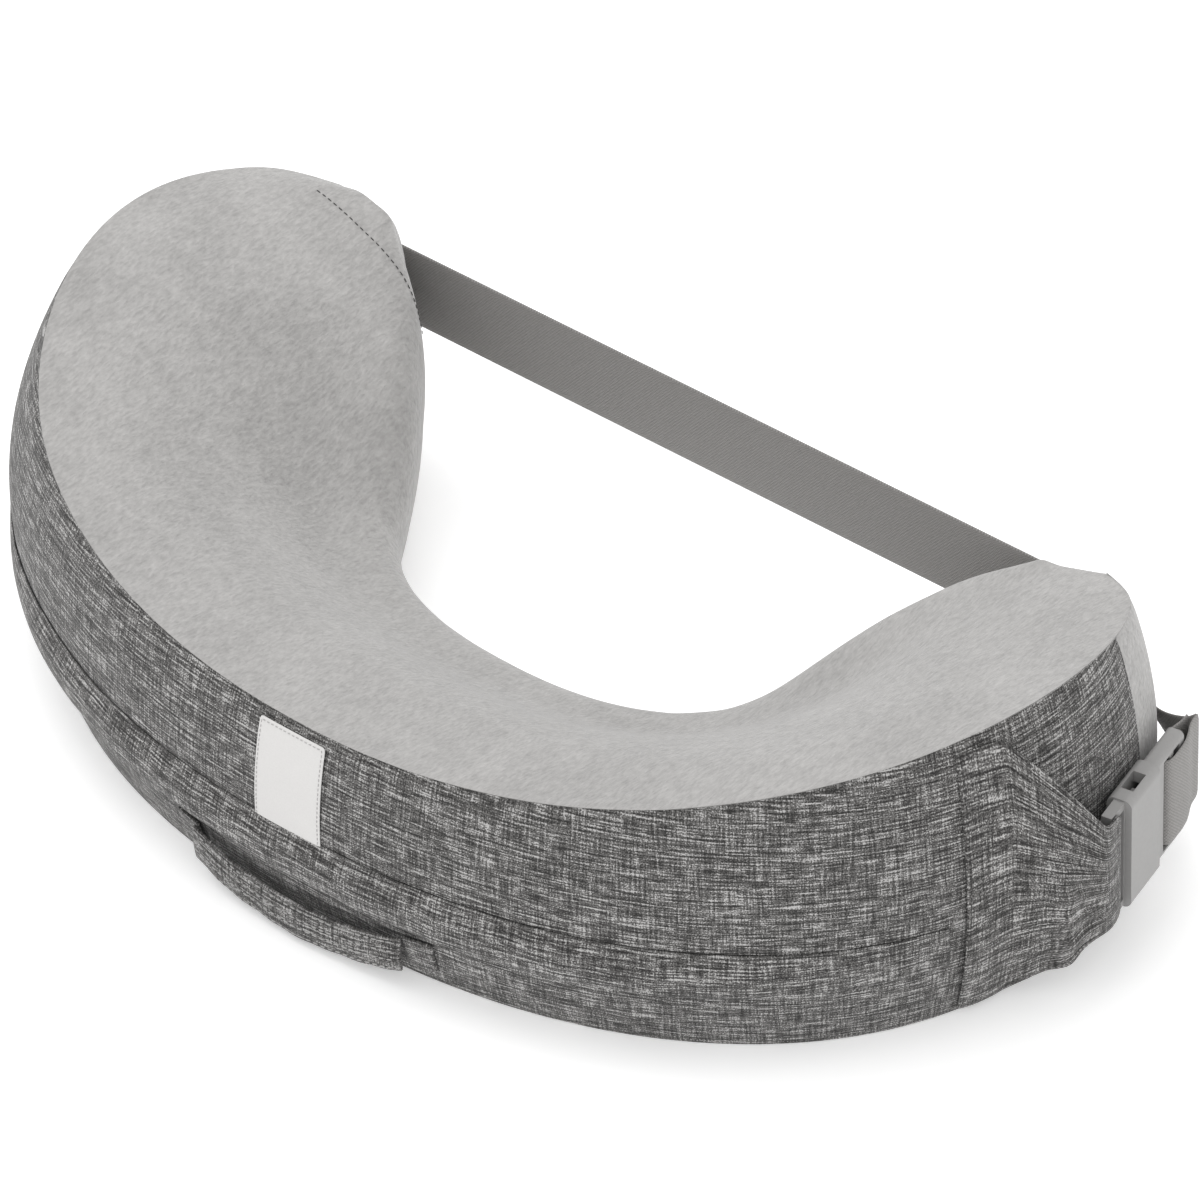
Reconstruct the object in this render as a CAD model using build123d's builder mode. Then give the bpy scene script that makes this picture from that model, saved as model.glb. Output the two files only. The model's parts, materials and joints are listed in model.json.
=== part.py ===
from build123d import *
from math import copysign, cos, degrees, radians, sin
import os

# Nursing pillow: a foam crescent in a sewn cover, with a concealed zip, a carry handle
# and a waist strap that closes in a side-release buckle. Millimetres, +Z up, +X towards
# the buckle tip, -Y towards the front. The origin is on the resting face, on the plane of
# symmetry, midway between the front wall and the inner curve.

# ---- driving dimensions -------------------------------------------------------------
# Crescent: a superelliptic spine in plan, swept from tip to tip by s = -1 .. 1.
spine_rx = 202.6
spine_ry = 163.0
spine_power = 2.24
spine_sweep = 96.0
tip_set_back = 20.8
spine_half_length = 330.0

half_width_front = 69.4
half_width_gain = 45.4
half_width_taper = -39.0
half_width_tip = 9.9
tip_start = 0.463
tip_power = 2.8
tip_blunt = 0.27

seam_height_front = 116.0
seam_height_gain = 110.0
seam_height_taper = -52.9
inner_height_front = 61.8
inner_height_gain = 4.4
inner_height_taper = 104.0
tip_drop = 45.0
crown = 12.3
inner_roll = 0.42
inner_drop = 0.137
wall_bulge = 9.6
wall_bulge_tip = 12.8
base_inset = 9.7

# Cover and filling
cover_thickness = 2.5
panel_gap = 0.1
liner_inset = 3.3
core_inset = 4.5
sewn_gap = 0.5
end_seam_inset = 1.2

# Concealed zip on the front arc of the wall
zip_centre_y = 364.0
zip_wall_radius = 443.2
zip_height = 46.0
zip_half_angle = 21.0
tape_standoff = 1.0
tape_thickness = 0.6
tape_width = 5.5
coil_width = 3.6
coil_thickness = 1.6
slider_length = 9.0
slider_width = 7.2
pull_length = 16.0
pull_width = 4.6
running_gap = 0.4
flap_top = 56.0
flap_bottom = 38.0
flap_thickness = 1.6

# Sewn-on pieces
label_width = 38.0
label_bottom = 59.0
label_top = 112.0
label_thickness = 0.8
wing_start = 0.685
wing_end = 0.845
wing_thickness = 3.0
wing_gap = 0.8
wing_top_end = 100.0
wing_bottom_end = 34.0

# Carry handle
handle_half_span = 61.0
handle_width = 20.0
handle_thickness = 3.0
handle_top = 29.5
handle_axis_gap = 3.0
handle_bow = 5.0
handle_droop = 7.5
handle_end_gap = 0.5
tab_length = 13.0

# Webbing, buckle and strap
web_width = 50.0
web_thickness = 1.8
strap_height = 80.0
strap_lean = 10.0
strap_y = 222.6
strap_straight_end = 205.0
strap_corner_x = 87.5
strap_corner_y = 72.0
strap_sewn_y = 118.0
buckle_height = 66.0
buckle_width = 61.0
buckle_thickness = 12.0
buckle_turn = 10.0
buckle_x = 291.6
buckle_y = 150.0
female_length = 27.0
female_bar_reach = 39.0
female_bar_thickness = 5.0
cavity_half_width = 24.5
cavity_half_height = 3.0
cavity_depth = 25.0
male_frame_length = 25.0
male_half_width = 29.0
male_thickness = 8.0
prong_length = 23.0
prong_offset = 18.5
prong_thickness = 3.2
prong_height = 4.4
window_start = -20.0
window_end = -8.0
web_slot_width = 5.5
web_slot_starts = (7.0, 16.0)
guide_half_width = 8.0
slot_clearance = 0.8


os.makedirs("parts", exist_ok=True)


# ---- crescent geometry --------------------------------------------------------------
def along(t):
    """Spread t = -1 .. 1 evenly along the spine, which is slow to leave s = 0."""
    return copysign(abs(t) ** (spine_power / 2), t)


half_steps = (0.1, 0.2, 0.3, 0.4, 0.5, 0.6, 0.7, 0.78, 0.85, 0.91, 0.96, 1)
stations = [along(-t) for t in reversed(half_steps)] + [0] + [along(t) for t in half_steps]
wall_reach = half_steps.index(0.91) + 1
wall_stations = stations[len(half_steps) - wall_reach:len(half_steps) + wall_reach + 1]


def tip_progress(s):
    """How far a station is into the rounded tip, 0 to 1."""
    return max(0.0, (abs(s) - tip_start) / (1 - tip_start))


def tip_fade(s):
    """Width factor that rounds the tip off in plan."""
    return max((1 - tip_progress(s) ** tip_power) ** (1 / tip_power), tip_blunt)


def half_width(s):
    a = abs(s)
    full = half_width_front + half_width_gain * a**2 + half_width_taper * a**4 + half_width_tip * a**8
    return full * tip_fade(s)


def seam_height(s):
    drop = tip_drop * tip_progress(s) ** 3
    return seam_height_front + seam_height_gain * s**2 + seam_height_taper * s**4 - drop


def inner_height(s):
    drop = tip_drop * tip_progress(s) ** 3
    return inner_height_front + inner_height_gain * s**2 + inner_height_taper * s**4 - drop


def spine_point(s):
    angle = radians(spine_sweep * s)
    x = spine_rx * copysign(abs(sin(angle)) ** (2 / spine_power), angle)
    y = -spine_ry * copysign(abs(cos(angle)) ** (2 / spine_power), cos(angle))
    return x, y


def outward(s):
    """Unit normal of the spine in plan, away from the opening of the U."""
    x, y = spine_point(s)
    nx = copysign(abs(x / spine_rx) ** (spine_power - 1) / spine_rx, x)
    ny = copysign(abs(y / spine_ry) ** (spine_power - 1) / spine_ry, y)
    return Vector(nx, ny, 0).normalized()


def station_plane(s):
    """Section plane at s: local x points outward, local y points up."""
    x, y = spine_point(s)
    normal = outward(s)
    origin = Vector(x, y + tip_set_back * s**4 + spine_ry, 0)
    return Plane(origin=origin, x_dir=normal, z_dir=Vector(normal.Y, -normal.X, 0))


def wall_u(s, z):
    """Distance of the outer wall from the spine at height z."""
    share = min(max(z / seam_height(s), 0.0), 1.0)
    bulge = (wall_bulge + wall_bulge_tip * s**4) * tip_fade(s) ** 0.5
    return half_width(s) + bulge * 4 * share * (1 - share)


def wall_point(s, z, out):
    return station_plane(s).from_local_coords(Vector(wall_u(s, z) + out, z, 0))


def top_points(s, inset):
    """Top of a section, from the outer seam to the inner shoulder."""
    w = half_width(s)
    outer = seam_height(s)
    inner = inner_height(s)
    points = []
    for share in (0, 0.3, 0.65, 1):
        u = (w - inset) + share * (-w * (1 - inner_roll) - (w - inset))
        z = outer + (inner - outer) * share + crown * tip_fade(s) * 4 * share * (1 - share)
        points.append((u, z - inset))
    points.append((-w + inset, inner * (1 - inner_drop) - inset))
    return points


def write(piece, name):
    piece.part.label = name
    export_step(piece.part, f"parts/{name}.step")


# ---- foam core and liner ------------------------------------------------------------
def crescent_body(inset):
    end = 1 - inset / spine_half_length
    with BuildPart() as body:
        for station in stations:
            s = max(-end, min(end, station))
            top = top_points(s, inset)
            w = half_width(s)
            with BuildSketch(station_plane(s)):
                with BuildLine():
                    Spline(*top)
                    Line(top[-1], (-w + base_inset + inset, inset))
                    Line((-w + base_inset + inset, inset), (w - inset, inset))
                    middle = seam_height(s) / 2
                    ThreePointArc((w - inset, inset), (wall_u(s, middle) - inset, middle), top[0])
                make_face()
        loft()
    return body


foam_core = crescent_body(core_inset)
write(foam_core, "foam_core")

foam_liner = crescent_body(liner_inset)
with foam_liner:
    add(foam_core.part, mode=Mode.SUBTRACT)
write(foam_liner, "foam_liner")


# ---- cover panels, lofted from thin closed strips --------------------------------------
def lofted_strip(strip, s_values):
    """Loft a closed outline, given by strip(s) as an outer and an inner run of points."""
    with BuildPart() as panel:
        for s in s_values:
            outer, inner = strip(s)
            with BuildSketch(station_plane(s)):
                with BuildLine():
                    for run in (outer, inner):
                        if len(run) > 2:
                            Spline(*run)
                        else:
                            Line(*run)
                    Line(outer[-1], inner[0])
                    Line(inner[-1], outer[0])
                make_face()
        loft()
    return panel


def top_strip(s):
    return top_points(s, 0), list(reversed(top_points(s, cover_thickness)))


def inner_strip(s):
    w = half_width(s)
    high = inner_height(s) * (1 - inner_drop) - cover_thickness - panel_gap
    low = cover_thickness + panel_gap
    outer = [(-w, high), (-w + base_inset, low)]
    inner = [(-w + base_inset + cover_thickness, low), (-w + cover_thickness, high)]
    return outer, inner


def floor_point(s, u):
    """Point on the resting face, u away from the spine."""
    point = station_plane(s).from_local_coords(Vector(u, 0, 0))
    return point.X, point.Y


def wall_strip(low, high, standoff, thickness):
    """Strip that follows the outer wall between two heights, each a function of s."""
    def strip(s):
        heights = [low(s) + (high(s) - low(s)) * share for share in (0, 0.5, 1)]
        outer = [(wall_u(s, z) + standoff + thickness, z) for z in heights]
        inner = [(wall_u(s, z) + standoff, z) for z in reversed(heights)]
        return outer, inner
    return strip


def level(z):
    return lambda s: z


write(lofted_strip(top_strip, stations), "top_panel")
write(lofted_strip(inner_strip, stations), "inner_panel")

outer_edge = [floor_point(s, half_width(s)) for s in stations]
inner_edge = [floor_point(s, -half_width(s) + base_inset) for s in reversed(stations)]
with BuildPart() as base_panel:
    with BuildSketch(Plane.XY):
        with BuildLine():
            Spline(*outer_edge)
            Line(outer_edge[-1], inner_edge[0])
            Spline(*inner_edge)
            Line(inner_edge[-1], outer_edge[0])
        make_face()
    extrude(amount=cover_thickness)
write(base_panel, "base_panel")

wall_edge = zip_height + coil_width / 2
band_edge = zip_height - coil_width / 2
upper_wall = wall_strip(level(wall_edge), lambda s: seam_height(s) - cover_thickness,
                        -cover_thickness, cover_thickness)
write(lofted_strip(upper_wall, wall_stations), "outer_wall")
lower_wall = wall_strip(level(cover_thickness), level(band_edge), -cover_thickness, cover_thickness)
write(lofted_strip(lower_wall, wall_stations), "lower_band")

flap_stations = [along(0.1 * k) for k in range(-7, 8)]
flap_standoff = 6.7


def flap_strip(s):
    """Flap sewn to the wall along its top edge and standing off the zip below it."""
    top_u = wall_u(s, flap_top)
    low_u = wall_u(s, flap_bottom) + flap_standoff
    outer = [(top_u + flap_thickness, flap_top), (low_u + flap_thickness, flap_top - 3.5),
             (low_u + flap_thickness, flap_bottom)]
    inner = [(low_u, flap_bottom), (low_u, flap_top - 4), (top_u + sewn_gap, flap_top - 0.5)]
    return outer, inner


write(lofted_strip(flap_strip, flap_stations), "zip_flap")

end_wall = wall_strip(level(cover_thickness), lambda s: seam_height(s) - cover_thickness,
                      -cover_thickness, cover_thickness)
for side, name in ((-1, "end_panel_left"), (1, "end_panel_right")):
    tip_stations = sorted(side * s for s in stations[len(half_steps) + wall_reach:])
    tip_wall = lofted_strip(end_wall, tip_stations)
    top = top_points(side, end_seam_inset)
    w = half_width(side) - end_seam_inset
    middle = seam_height(side) / 2
    with BuildPart() as end_panel:
        with BuildSketch(station_plane(side)):
            with BuildLine():
                Spline(*top)
                Line(top[-1], (-w + base_inset, end_seam_inset))
                Line((-w + base_inset, end_seam_inset), (w, end_seam_inset))
                ThreePointArc((w, end_seam_inset), (wall_u(side, middle) - end_seam_inset, middle), top[0])
            make_face()
        extrude(amount=-side * cover_thickness)
        add(tip_wall.part)
    write(end_panel, name)


# ---- wings sewn to the outer wall ------------------------------------------------------
def wing_low(s):
    share = max(0.0, (abs(s) - wing_start) / (wing_end - wing_start))
    return cover_thickness + (wing_bottom_end - cover_thickness) * share**4


def wing_high(s):
    share = max(0.0, (abs(s) - wing_start) / (wing_end - wing_start))
    seam = seam_height(s) - 6
    return seam + (wing_top_end - seam) * share**8


for side, name in ((-1, "wing_left"), (1, "wing_right")):
    wing_stations = [side * (wing_start + (wing_end - wing_start) * k / 6) for k in range(7)]
    wing = lofted_strip(wall_strip(wing_low, wing_high, wing_gap, wing_thickness), sorted(wing_stations))
    write(wing, name)


# ---- concealed zip on the front arc ------------------------------------------------------
def arc_band(inner_radius, outer_radius, low, high, start, end):
    """Ring segment about the zip's centre, angles in degrees from the front, +X side positive."""
    with BuildPart() as band:
        with BuildSketch(Plane.XY.offset(low)):
            with BuildLine():
                corner = []
                for radius in (inner_radius, outer_radius):
                    for angle in (start, (start + end) / 2, end):
                        x = radius * sin(radians(angle))
                        y = zip_centre_y - radius * cos(radians(angle))
                        corner.append((x, y))
                ThreePointArc(corner[0], corner[1], corner[2])
                Line(corner[2], corner[5])
                ThreePointArc(corner[5], corner[4], corner[3])
                Line(corner[3], corner[0])
            make_face()
        extrude(amount=high - low)
    return band


tape_inner = zip_wall_radius + tape_standoff
tape_outer = tape_inner + tape_thickness
coil_outer = tape_outer + coil_thickness
half_coil = coil_width / 2

upper_tape = arc_band(tape_inner, tape_outer, zip_height + 0.5, zip_height + tape_width,
                      -zip_half_angle, zip_half_angle)
write(upper_tape, "zip_tape_upper")
lower_tape = arc_band(tape_inner, tape_outer, zip_height - tape_width, zip_height - 0.5,
                      -zip_half_angle, zip_half_angle)
write(lower_tape, "zip_tape_lower")
coil = arc_band(tape_outer, coil_outer, zip_height - half_coil, zip_height + half_coil,
                -zip_half_angle + 0.3, zip_half_angle - 0.3)
write(coil, "zip_coil")

stop_blocks = [
    arc_band(tape_outer, coil_outer + 0.5, zip_height - half_coil, zip_height + half_coil, near, near + 0.3)
    for near in (-zip_half_angle - 0.15, zip_half_angle - 0.15)
]
with BuildPart() as zip_stops:
    for stop in stop_blocks:
        add(stop.part)
write(zip_stops, "zip_stops")

# The slider rests at the closed end of the zip, on the -X side, and opens towards +X.
slider_angle = degrees(slider_length / zip_wall_radius)
slider_start = -zip_half_angle + 0.3
slider_end = slider_start + slider_angle
plate_inner = coil_outer + running_gap - 0.1
plate_outer = plate_inner + 1.2
half_slider = slider_width / 2
flange_height = half_slider - half_coil - running_gap
slider_bands = [(plate_inner, plate_outer, -half_slider, slider_width)]
slider_bands += [(tape_outer + running_gap, plate_inner + 0.1, low, flange_height)
                 for low in (-half_slider, half_coil + running_gap)]
slider_blocks = [arc_band(near, far, zip_height + low, zip_height + low + height, slider_start, slider_end)
                 for near, far, low, height in slider_bands]
with BuildPart() as zip_slider:
    for block in slider_blocks:
        add(block.part)
write(zip_slider, "zip_slider")

pull_start = slider_end + 0.04
pull_end = pull_start + degrees(pull_length / zip_wall_radius)
zip_pull = arc_band(plate_inner, plate_outer, zip_height - pull_width / 2, zip_height + pull_width / 2,
                    pull_start, pull_end)
write(zip_pull, "zip_pull")


# ---- woven label ---------------------------------------------------------------------
def station_at_width(x):
    """Station whose wall lies at this x near the front."""
    low, high = 0.0, 0.3
    for _ in range(30):
        middle = (low + high) / 2
        if wall_point(middle, label_bottom, 0).X < x:
            low = middle
        else:
            high = middle
    return low


label_edge = station_at_width(label_width / 2)
label_stations = [-label_edge, -label_edge / 2, 0, label_edge / 2, label_edge]
label_strip = wall_strip(level(label_bottom), level(label_top), sewn_gap, label_thickness)
label = lofted_strip(label_strip, label_stations)
write(label, "woven_label")

# ---- carry handle ------------------------------------------------------------------------
handle_station = station_at_width(handle_half_span)
handle_axis_y = wall_point(handle_station, handle_top, handle_axis_gap).Y


def handle_plane(x):
    """Section across the band at x: local x points away from the wall, local y up."""
    return Plane(origin=(x, handle_axis_y, handle_top), x_dir=(0, -1, 0), z_dir=(-1, 0, 0))


with BuildPart() as carry_handle:
    for share in (-1, -0.75, -0.4, 0, 0.4, 0.75, 1):
        x = (handle_half_span - handle_end_gap) * share
        hang = 1 - share**2
        out = handle_bow * hang
        lower = handle_droop * hang
        with BuildSketch(handle_plane(x)):
            with BuildLine():
                Polyline((out, -lower), (out + handle_thickness, -lower),
                         (out * 1.1 + handle_thickness, -lower - handle_width),
                         (out * 1.1, -lower - handle_width), close=True)
            make_face()
    loft()
write(carry_handle, "carry_handle")

tab_far = station_at_width(handle_half_span + tab_length)
tab_low = handle_top - handle_width
tab_high = handle_top - handle_end_gap
tab_strip = wall_strip(level(tab_low), level(tab_high), sewn_gap, handle_thickness)
tab_middle = (handle_station + tab_far) / 2
tabs = [lofted_strip(tab_strip, sorted([side * handle_station, side * tab_middle, side * tab_far]))
        for side in (-1, 1)]
with BuildPart() as handle_tabs:
    for tab in tabs:
        add(tab.part)
write(handle_tabs, "handle_tabs")

# ---- buckle ----------------------------------------------------------------------------
# Local x runs from the female towards the strap, local y up, local z away from the pillow.
turn = radians(buckle_turn)
buckle_axis = Vector(-sin(turn), cos(turn), 0)
buckle_out = Vector(cos(turn), sin(turn), 0)
buckle_origin = Vector(buckle_x, buckle_y, buckle_height)
buckle_plane = Plane(origin=buckle_origin, x_dir=buckle_axis, z_dir=buckle_out)
web_plane = Plane(origin=buckle_origin, x_dir=buckle_axis, z_dir=(0, 0, -1))


def along_buckle(edge):
    return abs(edge.tangent_at(0).dot(buckle_axis)) > 0.99


# Each slab is its thickness, its start and end along the buckle, and its half width.
bar_depth = 5.0
slot_start = -female_bar_reach + bar_depth
slot_end = -female_length - 0.5
half_buckle = buckle_width / 2
slot_half_width = web_width / 2 + slot_clearance
with BuildPart() as buckle_female:
    with BuildSketch(buckle_plane.offset(-buckle_thickness / 2)):
        with Locations((-female_length / 2, 0)):
            Rectangle(female_length, buckle_width)
    extrude(amount=buckle_thickness)
    fillet(buckle_female.edges().filter_by(along_buckle), radius=4)
    for thickness, x_from, x_to, half_y, mode in (
        (female_bar_thickness, -female_bar_reach, -female_length + 0.5, half_buckle - 1, Mode.ADD),
        (2 * cavity_half_height, -cavity_depth, 1, cavity_half_width, Mode.SUBTRACT),
        (2 * cavity_half_height, window_start, window_end, half_buckle + 2, Mode.SUBTRACT),
        (female_bar_thickness + 1, slot_start, slot_end, slot_half_width, Mode.SUBTRACT),
    ):
        with BuildSketch(buckle_plane.offset(-thickness / 2)):
            with Locations(((x_from + x_to) / 2, 0)):
                Rectangle(x_to - x_from, 2 * half_y)
        extrude(amount=thickness, mode=mode)
write(buckle_female, "buckle_female")

with BuildPart() as buckle_male:
    with BuildSketch(buckle_plane.offset(-male_thickness / 2)):
        with Locations((male_frame_length / 2 + 1, 0)):
            Rectangle(male_frame_length, 2 * male_half_width)
    extrude(amount=male_thickness)
    fillet(buckle_male.edges().filter_by(along_buckle), radius=2.5)
    male_cuts = [(male_thickness + 1, start, start + web_slot_width, slot_half_width, Mode.SUBTRACT)
                 for start in web_slot_starts]
    guide = (prong_height, -prong_length + 1, 1.5, guide_half_width, Mode.ADD)
    for thickness, x_from, x_to, half_y, mode in male_cuts + [guide]:
        with BuildSketch(buckle_plane.offset(-thickness / 2)):
            with Locations(((x_from + x_to) / 2, 0)):
                Rectangle(x_to - x_from, 2 * half_y)
        extrude(amount=thickness, mode=mode)
write(buckle_male, "buckle_male")

for side, name in ((-1, "prong_lower"), (1, "prong_upper")):
    with BuildPart() as prong:
        with BuildSketch(buckle_plane.offset(-prong_height / 2)):
            with BuildLine():
                near = side * (prong_offset - prong_thickness / 2)
                far = side * (prong_offset + prong_thickness / 2)
                tip = -prong_length
                Polyline((0.3, near), (0.3, far), (-9, far), (-10.5, far + side * 3), (-18, far + side * 3),
                         (tip, far), (tip, near), close=True)
            make_face()
        extrude(amount=prong_height)
    write(prong, name)


# ---- webbing ------------------------------------------------------------------------------
def web_profile(points):
    """Webbing of full width whose edge-on line is given along and away from the buckle."""
    with BuildPart() as web:
        with BuildSketch(web_plane):
            with BuildLine():
                Polyline(*points)
            trace(line_width=web_thickness)
        extrude(amount=web_width / 2, both=True)
    return web


layer = male_thickness / 2 + web_thickness / 2 + 0.3
strap_end = web_profile([(52, -1.2), (36, -1.2), (28, -layer), (9.7, -layer), (9.7, layer), (28, layer),
                         (36, 1.2), (60, 1.2)])
write(strap_end, "strap_end")

bar_layer = female_bar_thickness / 2 + web_thickness / 2 + 0.3
slot_middle = (slot_start + slot_end) / 2
wing_loop = web_profile([(-56, -8.4), (-46, -bar_layer), (slot_middle, -bar_layer), (slot_middle, bar_layer),
                         (-46, bar_layer), (-56, -4.4)])
write(wing_loop, "wing_loop")


def strap_section(x, y, z, heading, lean):
    """Cross-section of the strap, with the run along heading in plan and the top edge leaning."""
    across = Vector(-heading.Y, heading.X, 0) * sin(radians(lean)) + Vector(0, 0, cos(radians(lean)))
    return Plane(origin=(x, y, z), x_dir=across, z_dir=heading)


with BuildPart() as waist_strap:
    straight = strap_section(strap_straight_end - 10, strap_y, strap_height, Vector(-1, 0, 0), strap_lean)
    with BuildSketch(straight):
        Rectangle(web_width, web_thickness)
    extrude(amount=2 * strap_straight_end - 10)
    for share in (0, 0.2, 0.4, 0.6, 0.8, 1, 1.35):
        turn_angle = radians(90 * min(share, 1))
        x = -strap_straight_end - strap_corner_x * sin(turn_angle)
        y = strap_y - strap_corner_y * (1 - cos(turn_angle))
        if share > 1:
            x = x + 1.5
            y = strap_sewn_y
        heading = Vector(-strap_corner_x * cos(turn_angle), -strap_corner_y * sin(turn_angle), 0).normalized()
        z = strap_height + (buckle_height - strap_height) * min(share, 1)
        lean = strap_lean * (1 - min(share, 1))
        with BuildSketch(strap_section(x, y, z, heading, lean)):
            Rectangle(web_width, web_thickness)
    loft()
write(waist_strap, "waist_strap")
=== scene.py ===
"""Nursing pillow: a plush and woven crescent with a carry handle and a buckled waist strap."""
import json
from math import copysign, cos, pi, radians, sin

import bpy
import numpy as np
from mathutils import Matrix, Vector


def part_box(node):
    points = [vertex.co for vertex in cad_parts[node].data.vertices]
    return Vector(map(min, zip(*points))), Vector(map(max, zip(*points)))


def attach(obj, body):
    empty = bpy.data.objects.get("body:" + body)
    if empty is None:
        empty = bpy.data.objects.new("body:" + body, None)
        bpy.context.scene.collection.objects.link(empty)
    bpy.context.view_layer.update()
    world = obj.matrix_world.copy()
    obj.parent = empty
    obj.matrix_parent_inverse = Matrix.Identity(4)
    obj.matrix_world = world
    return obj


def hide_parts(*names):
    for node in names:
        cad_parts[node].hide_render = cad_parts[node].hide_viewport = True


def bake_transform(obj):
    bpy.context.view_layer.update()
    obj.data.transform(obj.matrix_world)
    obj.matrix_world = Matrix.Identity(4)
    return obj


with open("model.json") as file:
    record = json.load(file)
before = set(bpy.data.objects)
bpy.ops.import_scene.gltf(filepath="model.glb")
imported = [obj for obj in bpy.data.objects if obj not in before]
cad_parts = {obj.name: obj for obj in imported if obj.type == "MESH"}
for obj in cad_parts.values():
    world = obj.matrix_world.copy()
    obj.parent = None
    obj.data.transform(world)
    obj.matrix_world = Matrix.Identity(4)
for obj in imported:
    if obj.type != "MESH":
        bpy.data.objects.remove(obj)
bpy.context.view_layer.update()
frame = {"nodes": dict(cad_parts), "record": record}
MM = 0.001

# ---- crescent, the same formulas as the part's, in millimetres -----------------------------
SPINE_RX, SPINE_RY, SPINE_POWER, SPINE_SWEEP = 202.6, 163.0, 2.24, 96.0
TIP_SET_BACK = 20.8
TIP_START, TIP_POWER, TIP_BLUNT, TIP_DROP = 0.463, 2.8, 0.27, 45.0
CROWN, INNER_ROLL, INNER_DROP, BASE_INSET = 12.3, 0.42, 0.137, 9.7
BULGE, BULGE_TIP = 9.6, 12.8
WALL_END = 0.91
# (power, factor) terms of the half width, the seam's height and the inner edge's height
WIDTH_TERMS = ((0, 69.4), (2, 45.4), (4, -39.0), (8, 9.9))
SEAM_TERMS = ((0, 116.0), (2, 110.0), (4, -52.9))
INNER_TERMS = ((0, 61.8), (2, 4.4), (4, 104.0))


def along(t):
    return copysign(abs(t) ** (SPINE_POWER / 2), t)


def tip_progress(s):
    return max(0.0, (abs(s) - TIP_START) / (1 - TIP_START))


def tip_fade(s):
    return max((1 - tip_progress(s) ** TIP_POWER) ** (1 / TIP_POWER), TIP_BLUNT)


def series(terms, s):
    return sum(factor * s**power for power, factor in terms)


def half_width(s):
    return series(WIDTH_TERMS, s) * tip_fade(s)


def seam_height(s):
    return series(SEAM_TERMS, s) - TIP_DROP * tip_progress(s) ** 3


def inner_height(s):
    return series(INNER_TERMS, s) - TIP_DROP * tip_progress(s) ** 3


def station(s):
    """Foot of the section at s and its outward direction, both level."""
    angle = radians(SPINE_SWEEP * s)
    x = SPINE_RX * copysign(abs(sin(angle)) ** (2 / SPINE_POWER), angle)
    y = -SPINE_RY * copysign(abs(cos(angle)) ** (2 / SPINE_POWER), cos(angle))
    nx = copysign(abs(x / SPINE_RX) ** (SPINE_POWER - 1) / SPINE_RX, x)
    ny = copysign(abs(y / SPINE_RY) ** (SPINE_POWER - 1) / SPINE_RY, y)
    normal = np.array((nx, ny, 0.0))
    return np.array((x, y + TIP_SET_BACK * s**4 + SPINE_RY, 0.0)), normal / np.linalg.norm(normal)


def wall_u(s, z):
    """Distance of the outer wall from the spine at station s and height z."""
    share = min(max(z / seam_height(s), 0.0), 1.0)
    return half_width(s) + (BULGE + BULGE_TIP * s**4) * tip_fade(s) ** 0.5 * 4 * share * (1 - share)


def smooth(x):
    x = min(max(x, 0.0), 1.0)
    return x * x * (3 - 2 * x)


def through(points, t):
    """Point at t = 0..1 on a smooth curve through the points."""
    p = [2 * points[0] - points[1]] + list(points) + [2 * points[-1] - points[-2]]
    f = t * (len(points) - 1)
    k = min(int(f), len(points) - 2)
    f = f - k
    a, b, c, d = p[k:k + 4]
    return 0.5 * (2 * b + (c - a) * f + (2 * a - 5 * b + 4 * c - d) * f**2 + (3 * b - a - 3 * c + d) * f**3)


# ---- pillow surface as one grid of sections ------------------------------------------------
WALL_STEPS, TOP_STEPS, INNER_STEPS, BASE_STEPS = 26, 46, 16, 26
BELOW_SEAM, ABOVE_SEAM = [0.975, 0.99], [0.006, 0.013, 0.021, 0.031]
WALL_ROWS = sorted(set([k / WALL_STEPS for k in range(WALL_STEPS)] + BELOW_SEAM))
TOP_ROWS = sorted(set(ABOVE_SEAM + [k / TOP_STEPS for k in range(TOP_STEPS + 1)]))
INNER_ROWS = [k / INNER_STEPS for k in range(1, INNER_STEPS + 1)]
BASE_ROWS = [k / BASE_STEPS for k in range(1, BASE_STEPS)]
SEAM = len(WALL_ROWS)
SHOULDER = SEAM + len(TOP_ROWS) - 1
FOOT = SHOULDER + len(INNER_ROWS)
ROWS = FOOT + 1 + len(BASE_ROWS)
SPAN, TIP_STEPS = 74, 7
T_VALUES = [WALL_END * k / SPAN for k in range(-SPAN, SPAN + 1)]
TIP_T = [WALL_END + (1 - WALL_END) * k / TIP_STEPS for k in range(1, TIP_STEPS + 1)]
T_VALUES = [-t for t in reversed(TIP_T)] + T_VALUES + TIP_T
CAP_RINGS = 9
CAP_DEPTH = 10.0
TOP_KNOTS = (0, 0.3, 0.65, 1)
INNER_SWELL, INNER_SWELL_HIGH = 5.0, 1.5


def section(s):
    """Closed outline at s as (u, z): outer wall, top, inner wall, base."""
    w, outer, inner = half_width(s), seam_height(s), inner_height(s)
    rows = [(wall_u(s, share * outer), share * outer) for share in WALL_ROWS]
    top = []
    for share in TOP_KNOTS:
        rise = CROWN * tip_fade(s) * 4 * share * (1 - share)
        top.append(np.array((w - share * w * (2 - INNER_ROLL), outer + (inner - outer) * share + rise)))
    shoulder = np.array((-w, inner * (1 - INNER_DROP)))
    top.append(shoulder)
    rows += [tuple(through(top, share)) for share in TOP_ROWS]
    foot = np.array((-w + BASE_INSET, 0.0))
    for share in INNER_ROWS:
        swell = INNER_SWELL * tip_fade(s) * (4 * share * (1 - share)) * (INNER_SWELL_HIGH - share)
        rows.append(tuple(shoulder + (foot - shoulder) * share + np.array((-swell, 0))))
    rows += [tuple(foot + (np.array((w, 0.0)) - foot) * share) for share in BASE_ROWS]
    return rows


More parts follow.
